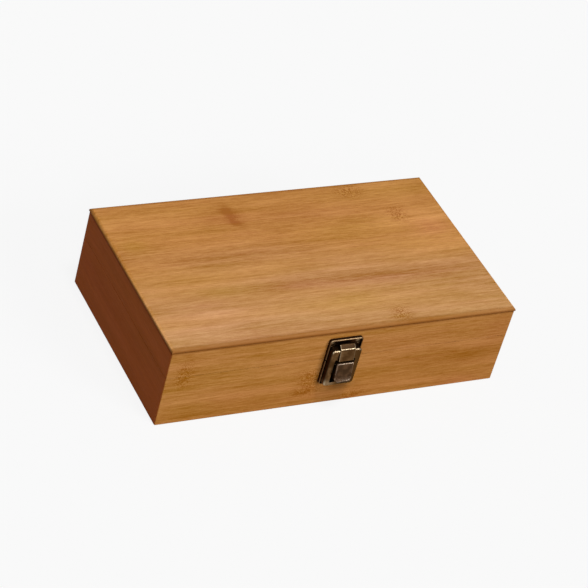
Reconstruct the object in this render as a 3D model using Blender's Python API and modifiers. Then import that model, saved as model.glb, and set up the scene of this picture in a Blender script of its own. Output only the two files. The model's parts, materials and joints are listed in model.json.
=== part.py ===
"""A hinged wooden box with a draw latch, at its real size in metres.

The box stands on the XY plane, with its latch towards -Y and its hinges towards +Y. The origin is the
middle of its underside. Every piece is an object of its own. The pieces of the lid, the lever and the
link hang from empties that lie on the axes they turn about.

Fronts of latch pieces are given as a reach: the distance out from the front of the box.
"""

from math import cos, hypot, pi, radians, sin, tan

import bmesh
import bpy
from mathutils import Vector

# Wooden case
BOX_WIDTH = 0.240
BOX_DEPTH = 0.138
BOX_HEIGHT = 0.060
SEAM_GAP = 0.0003
WALL = 0.008
WALL_CORNER = 0.0008
GLUE_GAP = 0.0001
TOP_PANEL_EDGE = 0.0026
TOP_PANEL_OVERHANG = 0.0003
TOP_PANEL_STEP = 0.002
TOP_PANEL_ROUND = 0.0020
BOTTOM_PANEL_EDGE = 0.003
BOTTOM_PANEL_STEP = 0.001
BOTTOM_REBATE = 0.004

# Sheet metal, screws and rivets
SHEET = 0.0008
PLATE_STANDOFF = 0.0001
PIN_CLEARANCE = 0.00005
SCREW_HEAD_RADIUS = 0.00165
SCREW_DOME = 0.00025
SCREW_SINK = 0.0007
SCREW_RADIUS = 0.00085
SCREW_LENGTH = 0.0062
SCREW_TIP = 0.0012
SCREW_CLEARANCE = 0.0001
DOME_RADIUS_SHARES = (0, 0.5, 0.8, 1)

# Latch plates
LATCH_OFFSET = -0.0013
PLATE_HALF_WIDTH = 0.0116
PLATE_CORNER = 0.0018
BASE_PLATE_HEIGHT = 0.0195
PLATE_SEAM_GAP = 0.0004
PLATE_TOP_MARGIN = 0.0037
RIM_WIDTH = 0.00075
RIM_HEIGHT = 0.0024
RIM_ROUND = 0.0005
CATCH_SCREW_EDGE = 0.0029
CATCH_SCREW_HEIGHT = 0.0124
BASE_SCREW_SPACING = 0.0064
BASE_SCREW_DROP = 0.0120

# Link ring
LINK_PLATE_GAP = 0.0002
LINK_RIM_GAP = 0.00025
LINK_FOOT_GAP = 0.00045
LINK_DEPTH = 0.0049
LINK_CORNER = 0.0026
LINK_ROUND = 0.0011
LINK_HEAD = 0.0074
LINK_FOOT = 0.0030
LINK_BAR = 0.0036
WINDOW_SIDE_GAP = 0.0012
WINDOW_RISE = 0.0030

# Claw on the link
CLAW_HEIGHT = 0.0083
CLAW_SLOPE_RISE = 0.0021
CLAW_SLOPE_RUN = 0.0026
CLAW_RISE = 0.0003
CLAW_LEAN = 0.0015
CLAW_SHOULDER = 0.0054
CLAW_HOOK = 0.0020
CLAW_BACK_STANDOFF = 0.0015
CLAW_ROUND = 0.0010
CLAW_EDGE_ROUND = 0.0004
CLAW_KEEPER_GAP = 0.00035
CLAW_RIM_GAP = 0.00205
KEEPER_SIDE_GAP = 0.0003
KEEPER_LEAD = 0.0014
KEEPER_ROUND = 0.0003

# Lever
SLOT = 0.0017
LEVER_LENGTH = 0.0143
LEVER_RISE = 0.0020
LEVER_DEPTH = 0.0011
LEVER_BOW = 0.0008
LEVER_CURL = 0.0027
LEVER_FLARE = 0.00045
LEVER_TIP_CORNER = 0.0034
LEVER_ROUND = 0.0007
CURL_START_SHARE = 0.58
CURL_EXPONENT = 1.5
CURL_STEPS = 5
LEVER_AXIS_DROP = 0.0009
CRANK_DROP = 0.0042
CRANK_OFFSET = 0.0012
LEVER_PIN_RADIUS = 0.0006
LINK_PIN_RADIUS = 0.0005
LINK_PIN_FRONT_GAP = 0.0007
LINK_PIN_END = 0.0003
PIVOT_MARGIN = 0.00125
CHEEK_LENGTH = 0.0110
CHEEK_ROUND = 0.0008
EAR_GAP = 0.00035
EAR_ROOT = 0.0024
EAR_TOP_GAP = 0.0004

# Hinges
HINGE_SPACING = 0.140
HINGE_LENGTH = 0.024
HINGE_LEAF = 0.010
HINGE_PIN_RADIUS = 0.0008
HINGE_KNUCKLE = 0.0080
HINGE_KNUCKLE_GAP = 0.0003
HINGE_CURL_END = 275.0
HINGE_SCREW_SPACING = 0.0150
HINGE_SCREW_RISE = 0.0061

# Cutting and facets
OVERRUN = 0.001
WELD = 0.000001
FLAT_ANGLE = radians(0.5)
ROUND_STEP = 15.0
TURN_STEPS = 16

# Everything below follows from the sizes above
CATCH_PLATE_HEIGHT = WINDOW_RISE + CLAW_HEIGHT + CLAW_SLOPE_RISE + CLAW_RIM_GAP + RIM_WIDTH
LID_HEIGHT = CATCH_PLATE_HEIGHT + PLATE_TOP_MARGIN + TOP_PANEL_EDGE
SEAM_HEIGHT = BOX_HEIGHT - LID_HEIGHT
FRONT = -BOX_DEPTH / 2
BACK = BOX_DEPTH / 2
HINGE_BARREL = HINGE_PIN_RADIUS + SHEET
HINGE_AXIS_Y = BACK + PLATE_STANDOFF + HINGE_BARREL

PLATE_FACE = PLATE_STANDOFF + SHEET
CATCH_SCREW_SPACING = (PLATE_HALF_WIDTH - CATCH_SCREW_EDGE) * 2
LATCH_TOP = SEAM_HEIGHT + CATCH_PLATE_HEIGHT
LATCH_BOTTOM = SEAM_HEIGHT - BASE_PLATE_HEIGHT

LINK_BACK = PLATE_FACE + LINK_PLATE_GAP
LINK_FRONT = LINK_BACK + LINK_DEPTH
LINK_HALF_WIDTH = PLATE_HALF_WIDTH - RIM_WIDTH - LINK_RIM_GAP
LINK_BOTTOM = LATCH_BOTTOM + RIM_WIDTH + LINK_FOOT_GAP
WINDOW_HALF_WIDTH = LINK_HALF_WIDTH - LINK_BAR
WINDOW_TOP = SEAM_HEIGHT + WINDOW_RISE
WINDOW_BOTTOM = LINK_BOTTOM + LINK_FOOT
LINK_TOP = WINDOW_TOP + LINK_HEAD

CLAW_CREST = WINDOW_TOP + CLAW_HEIGHT
CLAW_TOP = CLAW_CREST + CLAW_SLOPE_RISE
CLAW_CREST_REACH = LINK_FRONT + CLAW_RISE
CLAW_FOOT_REACH = CLAW_CREST_REACH + CLAW_LEAN
CLAW_BACK = PLATE_FACE + CLAW_BACK_STANDOFF
CLAW_TIP = CLAW_TOP - CLAW_HOOK
KEEPER_TOP = CLAW_TIP - CLAW_KEEPER_GAP
CLAW_HALF_WIDTH = LINK_HALF_WIDTH - CLAW_SHOULDER
KEEPER_REACH = CLAW_BACK + SHEET + KEEPER_LEAD
KEEPER_HALF_WIDTH = CLAW_HALF_WIDTH - SHEET - KEEPER_SIDE_GAP

LEVER_HALF_TOP = WINDOW_HALF_WIDTH - WINDOW_SIDE_GAP
LEVER_HALF_TIP = LEVER_HALF_TOP + LEVER_FLARE
LEVER_TOP = WINDOW_TOP - SLOT
LEVER_TIP = LEVER_TOP - LEVER_LENGTH
LEVER_TOP_REACH = LINK_FRONT + LEVER_RISE
LEVER_BACK = LEVER_TOP_REACH - LEVER_DEPTH
LINK_AXIS_REACH = LINK_FRONT - SHEET - LINK_PIN_FRONT_GAP - LINK_PIN_RADIUS
LEVER_AXIS_REACH = LINK_AXIS_REACH + CRANK_OFFSET
LEVER_AXIS_HEIGHT = SEAM_HEIGHT - LEVER_AXIS_DROP
LINK_AXIS_HEIGHT = LEVER_AXIS_HEIGHT - CRANK_DROP
EAR_OUTER = LEVER_HALF_TOP - SHEET - EAR_GAP

# Views of an outline: from the front with depth towards the viewer, and from the side with X outwards
FROM_FRONT = (pi / 2, 0, 0)
FROM_SIDE = (pi / 2, 0, -pi / 2)
FROM_ABOVE = (0, 0, 0)
FROM_BACK = (-pi / 2, 0, 0)

BAMBOO = (0.62, 0.36, 0.15)
BAMBOO_LIGHT = (0.68, 0.42, 0.19)
BRONZE = (0.20, 0.15, 0.10)
BRONZE_WORN = (0.30, 0.23, 0.15)
STEEL = (0.36, 0.30, 0.22)
WOOD_ROUGHNESS = 0.5
METAL_ROUGHNESS = 0.42
SHARP_ANGLE = radians(35)


def clear_scene():
    for old in list(bpy.data.objects):
        bpy.data.objects.remove(old, do_unlink=True)


def new_collection(name):
    collection = bpy.data.collections.new(name)
    bpy.context.scene.collection.children.link(collection)
    return collection


clear_scene()
PARTS = new_collection("wooden_box_with_lock")
CUTTERS = new_collection("cutters")


def finish_material(name, colour, roughness, metallic):
    material = bpy.data.materials.new(name)
    material.use_nodes = True
    shader = material.node_tree.nodes["Principled BSDF"]
    shader.inputs["Base Color"].default_value = (*colour, 1)
    shader.inputs["Roughness"].default_value = roughness
    shader.inputs["Metallic"].default_value = metallic
    return material


def wood(piece, colour=BAMBOO):
    piece.data.materials.clear()
    piece.data.materials.append(finish_material(piece.name, colour, WOOD_ROUGHNESS, metallic=0))


def metal(piece, colour=BRONZE):
    piece.data.materials.clear()
    piece.data.materials.append(finish_material(piece.name, colour, METAL_ROUGHNESS, metallic=1))
    piece.data.shade_smooth()
    piece.data.set_sharp_from_angle(angle=SHARP_ANGLE)


def baked(shape, name):
    """Turn a curve, or a mesh with modifiers, into a plain welded mesh object in the same place."""
    bpy.context.view_layer.update()
    evaluated = shape.evaluated_get(bpy.context.evaluated_depsgraph_get())
    mesh = bpy.data.meshes.new_from_object(evaluated)
    piece = bpy.data.objects.new(name, mesh)
    piece.matrix_world = shape.matrix_world
    PARTS.objects.link(piece)
    bpy.data.objects.remove(shape, do_unlink=True)
    mesh_work = bmesh.new()
    mesh_work.from_mesh(mesh)
    bmesh.ops.remove_doubles(mesh_work, verts=mesh_work.verts, dist=WELD)
    bmesh.ops.dissolve_limit(
        mesh_work, angle_limit=FLAT_ANGLE, verts=mesh_work.verts, edges=mesh_work.edges
    )
    bmesh.ops.recalc_face_normals(mesh_work, faces=mesh_work.faces)
    mesh_work.to_mesh(mesh)
    mesh_work.free()
    piece.name = name
    return piece


def arc(centre, radius, start, end):
    """Points on a circle from one angle to another, in degrees."""
    steps = max(1, round(abs(end - start) / ROUND_STEP))
    angles = [radians(start + (end - start) * step / steps) for step in range(steps + 1)]
    return [(centre[0] + radius * cos(a), centre[1] + radius * sin(a)) for a in angles]


def rounded(corners):
    """An outline whose corners (x, y, radius) are rounded where they have a radius."""
    points = []
    for index, (x, y, radius) in enumerate(corners):
        corner = Vector((x, y))
        if radius == 0:
            points.append((x, y))
            continue
        before = (Vector(corners[index - 1][:2]) - corner).normalized()
        after = (Vector(corners[(index + 1) % len(corners)][:2]) - corner).normalized()
        half_angle = before.angle(after) / 2
        centre = corner + (before + after).normalized() * (radius / sin(half_angle))
        first = corner + before * (radius / tan(half_angle)) - centre
        turn = first.angle_signed(corner + after * (radius / tan(half_angle)) - centre)
        steps = max(1, round(abs(turn) / radians(ROUND_STEP)))
        for step in range(steps + 1):
            angle = -turn * step / steps
            points.append(
                (
                    centre.x + first.x * cos(angle) - first.y * sin(angle),
                    centre.y + first.x * sin(angle) + first.y * cos(angle),
                )
            )
    return points


def rectangle(left, right, bottom, top, low_radius=0, high_radius=0):
    return rounded(
        [
            (left, bottom, low_radius),
            (right, bottom, low_radius),
            (right, top, high_radius),
            (left, top, high_radius),
        ]
    )


def prism(name, outlines, depth, view, place, ease=0, ease_steps=2, ends=(1,)):
    """Extrude a flat outline, with any holes, by a depth centred on place.

    The rims of the ends named (1 is the far one, -1 the near one) are rounded by ease.
    """
    curve = bpy.data.curves.new(name, "CURVE")
    curve.dimensions = "2D"
    curve.fill_mode = "BOTH"
    curve.extrude = depth / 2
    for outline in outlines:
        spline = curve.splines.new("POLY")
        spline.points.add(len(outline) - 1)
        for point, (x, y) in zip(spline.points, outline):
            point.co = (x, y, 0, 1)
        spline.use_cyclic_u = True
    shape = bpy.data.objects.new(name + "_outline", curve)
    shape.rotation_euler = view
    shape.location = place
    CUTTERS.objects.link(shape)
    piece = baked(shape, name)
    if ease:
        mesh_work = bmesh.new()
        mesh_work.from_mesh(piece.data)
        rims = [
            edge
            for edge in mesh_work.edges
            if any(all(abs(v.co.z - end * depth / 2) < WELD for v in edge.verts) for end in ends)
        ]
        bmesh.ops.bevel(
            mesh_work, geom=rims, offset=ease, segments=ease_steps, profile=0.5, affect="EDGES"
        )
        mesh_work.to_mesh(piece.data)
        mesh_work.free()
    return piece


def front_prism(name, outlines, back, front, **easing):
    """A prism of outlines seen from the front, between two reaches from the box front."""
    place = (LATCH_OFFSET, FRONT - (back + front) / 2, 0)
    return prism(name, outlines, front - back, FROM_FRONT, place, **easing)


def side_prism(name, outline, half_width, offset=0, **easing):
    """A prism of an outline (reach, height) seen from the side, centred across the latch."""
    place = (LATCH_OFFSET + offset, FRONT, 0)
    return prism(name, [outline], half_width * 2, FROM_SIDE, place, **easing)


def turned(name, profile, view, place):
    """A solid of revolution from a profile (radius, height) that runs from the top to the bottom."""
    mesh = bpy.data.meshes.new(name)
    edges = [(index, index + 1) for index in range(len(profile) - 1)]
    mesh.from_pydata([(radius, 0, height) for radius, height in profile], edges, [])
    shape = bpy.data.objects.new(name + "_profile", mesh)
    shape.rotation_euler = view
    shape.location = place
    CUTTERS.objects.link(shape)
    screw = shape.modifiers.new("turn", "SCREW")
    screw.steps = TURN_STEPS
    screw.render_steps = TURN_STEPS
    screw.use_merge_vertices = True
    screw.merge_threshold = WELD
    return baked(shape, name)


def rod(name, radius, half_length, reach, height):
    """A round bar across the latch, centred on a point seen from the side."""
    profile = [(0, half_length), (radius, half_length), (radius, -half_length), (0, -half_length)]
    return turned(name, profile, (0, pi / 2, 0), (LATCH_OFFSET, FRONT - reach, height))


def put_aside(shape):
    """Keep a shape that cuts or completes a piece among the cutters."""
    if shape.name not in CUTTERS.objects:
        PARTS.objects.unlink(shape)
        CUTTERS.objects.link(shape)
    shape.hide_render = True
    shape.display_type = "WIRE"


def combine(piece, other, operation):
    boolean = piece.modifiers.new(other.name, "BOOLEAN")
    boolean.operation = operation
    boolean.object = other
    boolean.solver = "EXACT"
    put_aside(other)


def cut(piece, *cutters):
    for cutter in cutters:
        combine(piece, cutter, "DIFFERENCE")


def join(piece, *others):
    for other in others:
        combine(piece, other, "UNION")


def cut_board(wall, cutter):
    """Cut a board together with whatever else is cut out of it, all in one Boolean."""
    if "cuts" not in wall.modifiers:
        boolean = wall.modifiers.new("cuts", "BOOLEAN")
        boolean.operation = "DIFFERENCE"
        boolean.solver = "EXACT"
        boolean.operand_type = "COLLECTION"
        boolean.collection = bpy.data.collections.new(wall.name + "_cuts")
        CUTTERS.children.link(boolean.collection)
    put_aside(cutter)
    wall.modifiers["cuts"].collection.objects.link(cutter)


def axis_empty(name, place):
    empty = bpy.data.objects.new(name, None)
    empty.location = place
    PARTS.objects.link(empty)
    return empty


def hang(pieces, empty):
    """Parent pieces to an empty, and keep them where they are."""
    for piece in pieces:
        piece.parent = empty
        piece.location = Vector(piece.location) - empty.location


def screw(name, place, view):
    """A round-topped wood screw whose rim lies at place, with the hole it needs."""
    sphere = (SCREW_HEAD_RADIUS**2 + SCREW_DOME**2) / (2 * SCREW_DOME)
    radii = [SCREW_HEAD_RADIUS * share for share in DOME_RADIUS_SHARES]
    profile = [(r, (sphere**2 - r**2) ** 0.5 - sphere + SCREW_DOME) for r in radii]
    profile += [
        (SCREW_RADIUS, -SCREW_SINK),
        (SCREW_RADIUS, SCREW_TIP - SCREW_LENGTH),
        (0, -SCREW_LENGTH),
    ]
    piece = turned(name, profile, view, place)
    metal(piece, BRONZE_WORN)
    wide = SCREW_HEAD_RADIUS + SCREW_CLEARANCE
    narrow = SCREW_RADIUS + SCREW_CLEARANCE
    depth = SCREW_LENGTH + SCREW_CLEARANCE
    hole_profile = [
        (0, OVERRUN),
        (wide, OVERRUN),
        (wide, 0),
        (narrow, -SCREW_SINK),
        (narrow, -depth),
        (0, -depth),
    ]
    hole = turned(name + "_hole", hole_profile, view, place)
    return piece, hole


def board(name, length, low, high, side):
    """A mitred wall board: side counts quarter turns from the front."""
    half = length / 2
    mitre = GLUE_GAP / 2
    start = arc((WALL_CORNER - half + mitre, WALL_CORNER), WALL_CORNER, 225, 270)
    end = arc((half - WALL_CORNER - mitre, WALL_CORNER), WALL_CORNER, 270, 315)
    inner = [(half - WALL - mitre, WALL), (WALL - half + mitre, WALL)]
    quarter = side * pi / 2
    distance = BOX_DEPTH / 2 if side % 2 == 0 else BOX_WIDTH / 2
    place = (sin(quarter) * distance, -cos(quarter) * distance, (low + high) / 2)
    piece = prism(name, [start + end + inner], high - low, (0, 0, quarter), place)
    wood(piece)
    return piece


def frame_boards(prefix, low, high):
    """Four mitred boards, in the order front, right, back and left."""
    lengths = (BOX_WIDTH, BOX_DEPTH, BOX_WIDTH, BOX_DEPTH)
    names = ("front", "right", "back", "left")
    return [
        board(f"{prefix}_{name}_board", length, low, high, side)
        for side, (name, length) in enumerate(zip(names, lengths))
    ]


def slab(name, half_width, half_depth, low, high, **easing):
    outline = rectangle(-half_width, half_width, -half_depth, half_depth)
    return prism(name, [outline], high - low, FROM_ABOVE, (0, 0, (low + high) / 2), **easing)


def base_case():
    boards = frame_boards("base", low=0, high=SEAM_HEIGHT - SEAM_GAP / 2)
    half_width = BOX_WIDTH / 2 - WALL + BOTTOM_REBATE
    half_depth = BOX_DEPTH / 2 - WALL + BOTTOM_REBATE
    rebate = slab("bottom_rebate", half_width, half_depth, -OVERRUN, BOTTOM_PANEL_EDGE + GLUE_GAP)
    for piece in boards:
        cut_board(piece, rebate)
    panel = slab(
        "base_bottom_panel", half_width - GLUE_GAP, half_depth - GLUE_GAP, 0, BOTTOM_PANEL_EDGE
    )
    inside = WALL + GLUE_GAP
    step = slab(
        "bottom_panel_step",
        BOX_WIDTH / 2 - inside,
        BOX_DEPTH / 2 - inside,
        BOTTOM_PANEL_EDGE / 2,
        BOTTOM_PANEL_EDGE + BOTTOM_PANEL_STEP,
    )
    join(panel, step)
    wood(panel, BAMBOO_LIGHT)
    return boards, panel


def lid_case():
    underside = BOX_HEIGHT - TOP_PANEL_EDGE
    boards = frame_boards("lid", low=SEAM_HEIGHT + SEAM_GAP / 2, high=underside - GLUE_GAP)
    panel = slab(
        "lid_top_panel",
        BOX_WIDTH / 2 + TOP_PANEL_OVERHANG,
        BOX_DEPTH / 2 + TOP_PANEL_OVERHANG,
        underside,
        BOX_HEIGHT,
        ease=TOP_PANEL_ROUND,
        ease_steps=6,
    )
    step_low = underside - TOP_PANEL_STEP
    inside = WALL + GLUE_GAP
    step = slab(
        "lid_panel_step",
        BOX_WIDTH / 2 - inside,
        BOX_DEPTH / 2 - inside,
        step_low,
        underside + TOP_PANEL_EDGE / 2,
    )
    join(panel, step)
    wood(panel, BAMBOO_LIGHT)
    return boards, panel


def latch_plate(name, seam_edge, outer_edge):
    """A stamped plate with a raised rim on all sides but the one at the seam."""
    low, high = min(seam_edge, outer_edge), max(seam_edge, outer_edge)
    upper = outer_edge > seam_edge
    low_corner, high_corner = (0, PLATE_CORNER) if upper else (PLATE_CORNER, 0)
    outline = rectangle(-PLATE_HALF_WIDTH, PLATE_HALF_WIDTH, low, high, low_corner, high_corner)
    plate = front_prism(
        name, [outline], PLATE_STANDOFF, RIM_HEIGHT, ease=RIM_ROUND, ease_steps=3
    )
    inner = PLATE_HALF_WIDTH - RIM_WIDTH
    corner = PLATE_CORNER - RIM_WIDTH
    if upper:
        pocket_outline = rectangle(-inner, inner, low - OVERRUN, high - RIM_WIDTH, 0, corner)
    else:
        pocket_outline = rectangle(-inner, inner, low + RIM_WIDTH, high + OVERRUN, corner, 0)
    pocket = front_prism(name + "_pocket", [pocket_outline], PLATE_FACE, RIM_HEIGHT + OVERRUN)
    cut(plate, pocket)
    metal(plate)
    return plate


def catch_plate():
    plate = latch_plate("catch_plate", SEAM_HEIGHT + PLATE_SEAM_GAP, LATCH_TOP)
    root = PLATE_FACE - SHEET / 2
    keeper_outline = [
        (root, KEEPER_TOP - SHEET, 0),
        (KEEPER_REACH, KEEPER_TOP - SHEET, KEEPER_ROUND),
        (KEEPER_REACH, KEEPER_TOP, KEEPER_ROUND),
        (root, KEEPER_TOP, 0),
    ]
    keeper = side_prism("keeper", rounded(keeper_outline), KEEPER_HALF_WIDTH)
    tab_length = KEEPER_REACH - PLATE_FACE
    tab_hole = front_prism(
        "keeper_tab_hole",
        [
            rectangle(
                -KEEPER_HALF_WIDTH,
                KEEPER_HALF_WIDTH,
                KEEPER_TOP - SHEET - tab_length,
                KEEPER_TOP - SHEET,
            )
        ],
        PLATE_STANDOFF - OVERRUN,
        PLATE_FACE + OVERRUN,
    )
    cut(plate, tab_hole)
    join(plate, keeper)
    return plate


def latch_base_plate():
    top = SEAM_HEIGHT - PLATE_SEAM_GAP
    plate = latch_plate("latch_base_plate", top, LATCH_BOTTOM)
    root = PLATE_FACE - SHEET / 2
    outline = rounded(
        [
            (root, top - EAR_ROOT, 0),
            (LEVER_AXIS_REACH + PIVOT_MARGIN, LEVER_AXIS_HEIGHT - PIVOT_MARGIN, PIVOT_MARGIN),
            (LEVER_AXIS_REACH + PIVOT_MARGIN, LEVER_AXIS_HEIGHT + PIVOT_MARGIN, PIVOT_MARGIN),
            (root, top - EAR_TOP_GAP, 0),
        ]
    )
    pin_hole = rod(
        "ear_pin_hole",
        LEVER_PIN_RADIUS + PIN_CLEARANCE,
        EAR_OUTER + OVERRUN,
        LEVER_AXIS_REACH,
        LEVER_AXIS_HEIGHT,
    )
    for side, name in ((-1, "left_ear"), (1, "right_ear")):
        join(plate, side_prism(name, outline, SHEET / 2, offset=side * (EAR_OUTER - SHEET / 2)))
    cut(plate, pin_hole)
    return plate


def latch_link():
    ring_outline = rectangle(
        -LINK_HALF_WIDTH, LINK_HALF_WIDTH, LINK_BOTTOM, LINK_TOP, LINK_CORNER, LINK_CORNER
    )
    link = front_prism(
        "latch_link", [ring_outline], LINK_BACK, LINK_FRONT, ease=LINK_ROUND, ease_steps=4
    )

    claw_root = LINK_TOP - SHEET * 1.5
    claw_outline = rounded(
        [
            (CLAW_FOOT_REACH, WINDOW_TOP - OVERRUN, 0),
            (CLAW_CREST_REACH, CLAW_CREST, CLAW_ROUND),
            (CLAW_CREST_REACH - CLAW_SLOPE_RUN, CLAW_TOP, CLAW_ROUND / 2),
            (CLAW_BACK, CLAW_TOP, CLAW_ROUND / 4),
            (CLAW_BACK, claw_root, 0),
            (LINK_FRONT - SHEET / 2, claw_root, 0),
            (LINK_FRONT - SHEET / 2, WINDOW_TOP - OVERRUN, 0),
        ]
    )
    claw = side_prism(
        "claw", claw_outline, CLAW_HALF_WIDTH, ease=CLAW_EDGE_ROUND, ends=(-1, 1)
    )
    join(link, claw)

    window_outline = rectangle(-WINDOW_HALF_WIDTH, WINDOW_HALF_WIDTH, WINDOW_BOTTOM, WINDOW_TOP)
    window = front_prism("link_window", [window_outline], PLATE_STANDOFF, CLAW_FOOT_REACH + OVERRUN)

    hollow_outer = rectangle(
        SHEET - LINK_HALF_WIDTH,
        LINK_HALF_WIDTH - SHEET,
        LINK_BOTTOM + SHEET,
        LINK_TOP - SHEET,
        LINK_CORNER - SHEET,
        LINK_CORNER - SHEET,
    )
    hollow_inner = rectangle(
        -WINDOW_HALF_WIDTH - SHEET,
        WINDOW_HALF_WIDTH + SHEET,
        WINDOW_BOTTOM - SHEET,
        WINDOW_TOP + SHEET,
    )
    hollow = front_prism(
        "link_hollow", [hollow_outer, hollow_inner], PLATE_STANDOFF, LINK_FRONT - SHEET
    )

    slope = Vector((CLAW_SLOPE_RUN, -CLAW_SLOPE_RISE)).normalized()
    inwards = Vector((slope.y, -slope.x))
    slope_inner = Vector((CLAW_CREST_REACH - CLAW_SLOPE_RUN, CLAW_TOP)) + inwards * SHEET
    hook_front = CLAW_BACK + SHEET
    crest_front = CLAW_CREST_REACH - SHEET
    claw_hollow_outline = [
        (CLAW_FOOT_REACH - SHEET, WINDOW_TOP - OVERRUN),
        (crest_front, slope_inner.y + (crest_front - slope_inner.x) * slope.y / slope.x),
        (hook_front, slope_inner.y + (hook_front - slope_inner.x) * slope.y / slope.x),
        (hook_front, CLAW_TIP),
        (PLATE_STANDOFF, CLAW_TIP),
        (PLATE_STANDOFF, WINDOW_TOP - OVERRUN),
    ]
    claw_hollow = side_prism("claw_hollow", claw_hollow_outline, CLAW_HALF_WIDTH - SHEET)
    pin_hole = rod(
        "link_pin_hole",
        LINK_PIN_RADIUS + PIN_CLEARANCE,
        WINDOW_HALF_WIDTH + SHEET + LINK_PIN_END,
        LINK_AXIS_REACH,
        LINK_AXIS_HEIGHT,
    )
    cut(link, window, hollow, claw_hollow, pin_hole)
    metal(link)
    return link


def lever_reach(height):
    """How far the lever's face stands out at a height: nearly straight, then curling out to its tip."""
    share = (LEVER_TOP - height) / LEVER_LENGTH
    straight = min(share / CURL_START_SHARE, 1)
    curl = max(share - CURL_START_SHARE, 0) / (1 - CURL_START_SHARE)
    bowed = LEVER_BOW * straight + (LEVER_CURL - LEVER_BOW) * curl**CURL_EXPONENT
    return LEVER_TOP_REACH + max(bowed, 0)


def tongue(name, inset, back, top, ease=0):
    """The lever's dished tongue as a solid, drawn in by inset from its outer faces."""
    half = LEVER_HALF_TOP - inset
    low = LEVER_TIP + inset
    outline = rectangle(-half, half, low, top, LEVER_TIP_CORNER - inset, 0)
    piece = front_prism(name, [outline], back, LEVER_TOP_REACH)
    depth = LEVER_TOP_REACH - back
    mesh_work = bmesh.new()
    mesh_work.from_mesh(piece.data)
    for step in range(CURL_STEPS):
        share = CURL_START_SHARE + (1 - CURL_START_SHARE) * step / CURL_STEPS
        bmesh.ops.bisect_plane(
            mesh_work,
            geom=mesh_work.verts[:] + mesh_work.edges[:] + mesh_work.faces[:],
            plane_co=(0, LEVER_TOP - LEVER_LENGTH * share, 0),
            plane_no=(0, 1, 0),
        )
    for vertex in mesh_work.verts:
        share = (LEVER_TOP - vertex.co.y) / LEVER_LENGTH
        vertex.co.x *= 1 + (LEVER_HALF_TIP / LEVER_HALF_TOP - 1) * share
        if vertex.co.z > 0:
            vertex.co.z = lever_reach(vertex.co.y) - inset - back - depth / 2
    if ease:
        rims = [
            edge
            for edge in mesh_work.edges
            if all(v.co.z > 0 for v in edge.verts) and edge.calc_face_angle(0) > pi / 4
        ]
        bmesh.ops.bevel(mesh_work, geom=rims, offset=ease, segments=2, profile=0.5, affect="EDGES")
    mesh_work.to_mesh(piece.data)
    mesh_work.free()
    return piece


def latch_lever():
    lever = tongue("latch_lever", 0, LEVER_BACK, LEVER_TOP, ease=LEVER_ROUND)
    hollow = tongue("lever_hollow", SHEET, LEVER_BACK - OVERRUN, LEVER_TOP - SHEET)
    cut(lever, hollow)

    crank = hypot(CRANK_OFFSET, CRANK_DROP)
    along = Vector((CRANK_OFFSET, CRANK_DROP)) / crank
    behind = Vector((-along.y, along.x)) * PIVOT_MARGIN
    axis = Vector((LEVER_AXIS_REACH, LEVER_AXIS_HEIGHT)) + behind
    top = LEVER_AXIS_HEIGHT + PIVOT_MARGIN
    bottom = LINK_AXIS_HEIGHT - PIVOT_MARGIN
    cheek_outline = rounded(
        [
            (axis.x + (bottom - axis.y) * along.x / along.y, bottom, PIVOT_MARGIN),
            (LEVER_TOP_REACH - SHEET / 2, LEVER_TOP - CHEEK_LENGTH, CHEEK_ROUND),
            (LEVER_TOP_REACH - SHEET / 2, top, CHEEK_ROUND / 2),
            (axis.x + (top - axis.y) * along.x / along.y, top, PIVOT_MARGIN),
        ]
    )
    cheek_middle = LEVER_HALF_TOP - SHEET / 2
    for side, name in ((-1, "left_cheek"), (1, "right_cheek")):
        join(lever, side_prism(name, cheek_outline, SHEET / 2, offset=side * cheek_middle))
    half_length = LEVER_HALF_TIP + OVERRUN
    for name, radius, reach, height in (
        ("cheek_lever_pin_hole", LEVER_PIN_RADIUS, LEVER_AXIS_REACH, LEVER_AXIS_HEIGHT),
        ("cheek_link_pin_hole", LINK_PIN_RADIUS, LINK_AXIS_REACH, LINK_AXIS_HEIGHT),
    ):
        cut(lever, rod(name, radius + PIN_CLEARANCE, half_length, reach, height))
    metal(lever)
    return lever


def latch_pins():
    lever_pin = rod(
        "lever_pin", LEVER_PIN_RADIUS, LEVER_HALF_TOP, LEVER_AXIS_REACH, LEVER_AXIS_HEIGHT
    )
    link_half = WINDOW_HALF_WIDTH + SHEET + LINK_PIN_END
    link_pin = rod("link_pin", LINK_PIN_RADIUS, link_half, LINK_AXIS_REACH, LINK_AXIS_HEIGHT)
    metal(lever_pin, STEEL)
    metal(link_pin, STEEL)
    return lever_pin, link_pin


def latch_screws(prefix, plate, wall, height, spacing):
    """Two screws through a latch plate into the board behind it."""
    pieces = []
    for side, name in ((-1, "left"), (1, "right")):
        place = (LATCH_OFFSET + side * spacing / 2, FRONT - PLATE_FACE, height)
        piece, hole = screw(f"{prefix}_screw_{name}", place, FROM_FRONT)
        cut(plate, hole)
        cut_board(wall, hole)
        pieces.append(piece)
    return pieces


def leaf_outline(direction):
    """A hinge leaf seen from the side, curled round its pin: direction is 1 up and -1 down."""
    curl_end = 180 + HINGE_CURL_END
    outer = arc((0, 0), HINGE_BARREL, 180, curl_end)
    inner = arc((0, 0), HINGE_PIN_RADIUS + PIN_CLEARANCE, curl_end, 180)
    plate_front = SHEET - HINGE_BARREL
    flat = [
        (plate_front, 0),
        (plate_front, HINGE_LEAF),
        (-HINGE_BARREL, HINGE_LEAF),
    ]
    points = outer + inner[:-1] + flat
    return [(-outwards, direction * up) for outwards, up in points]


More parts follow.
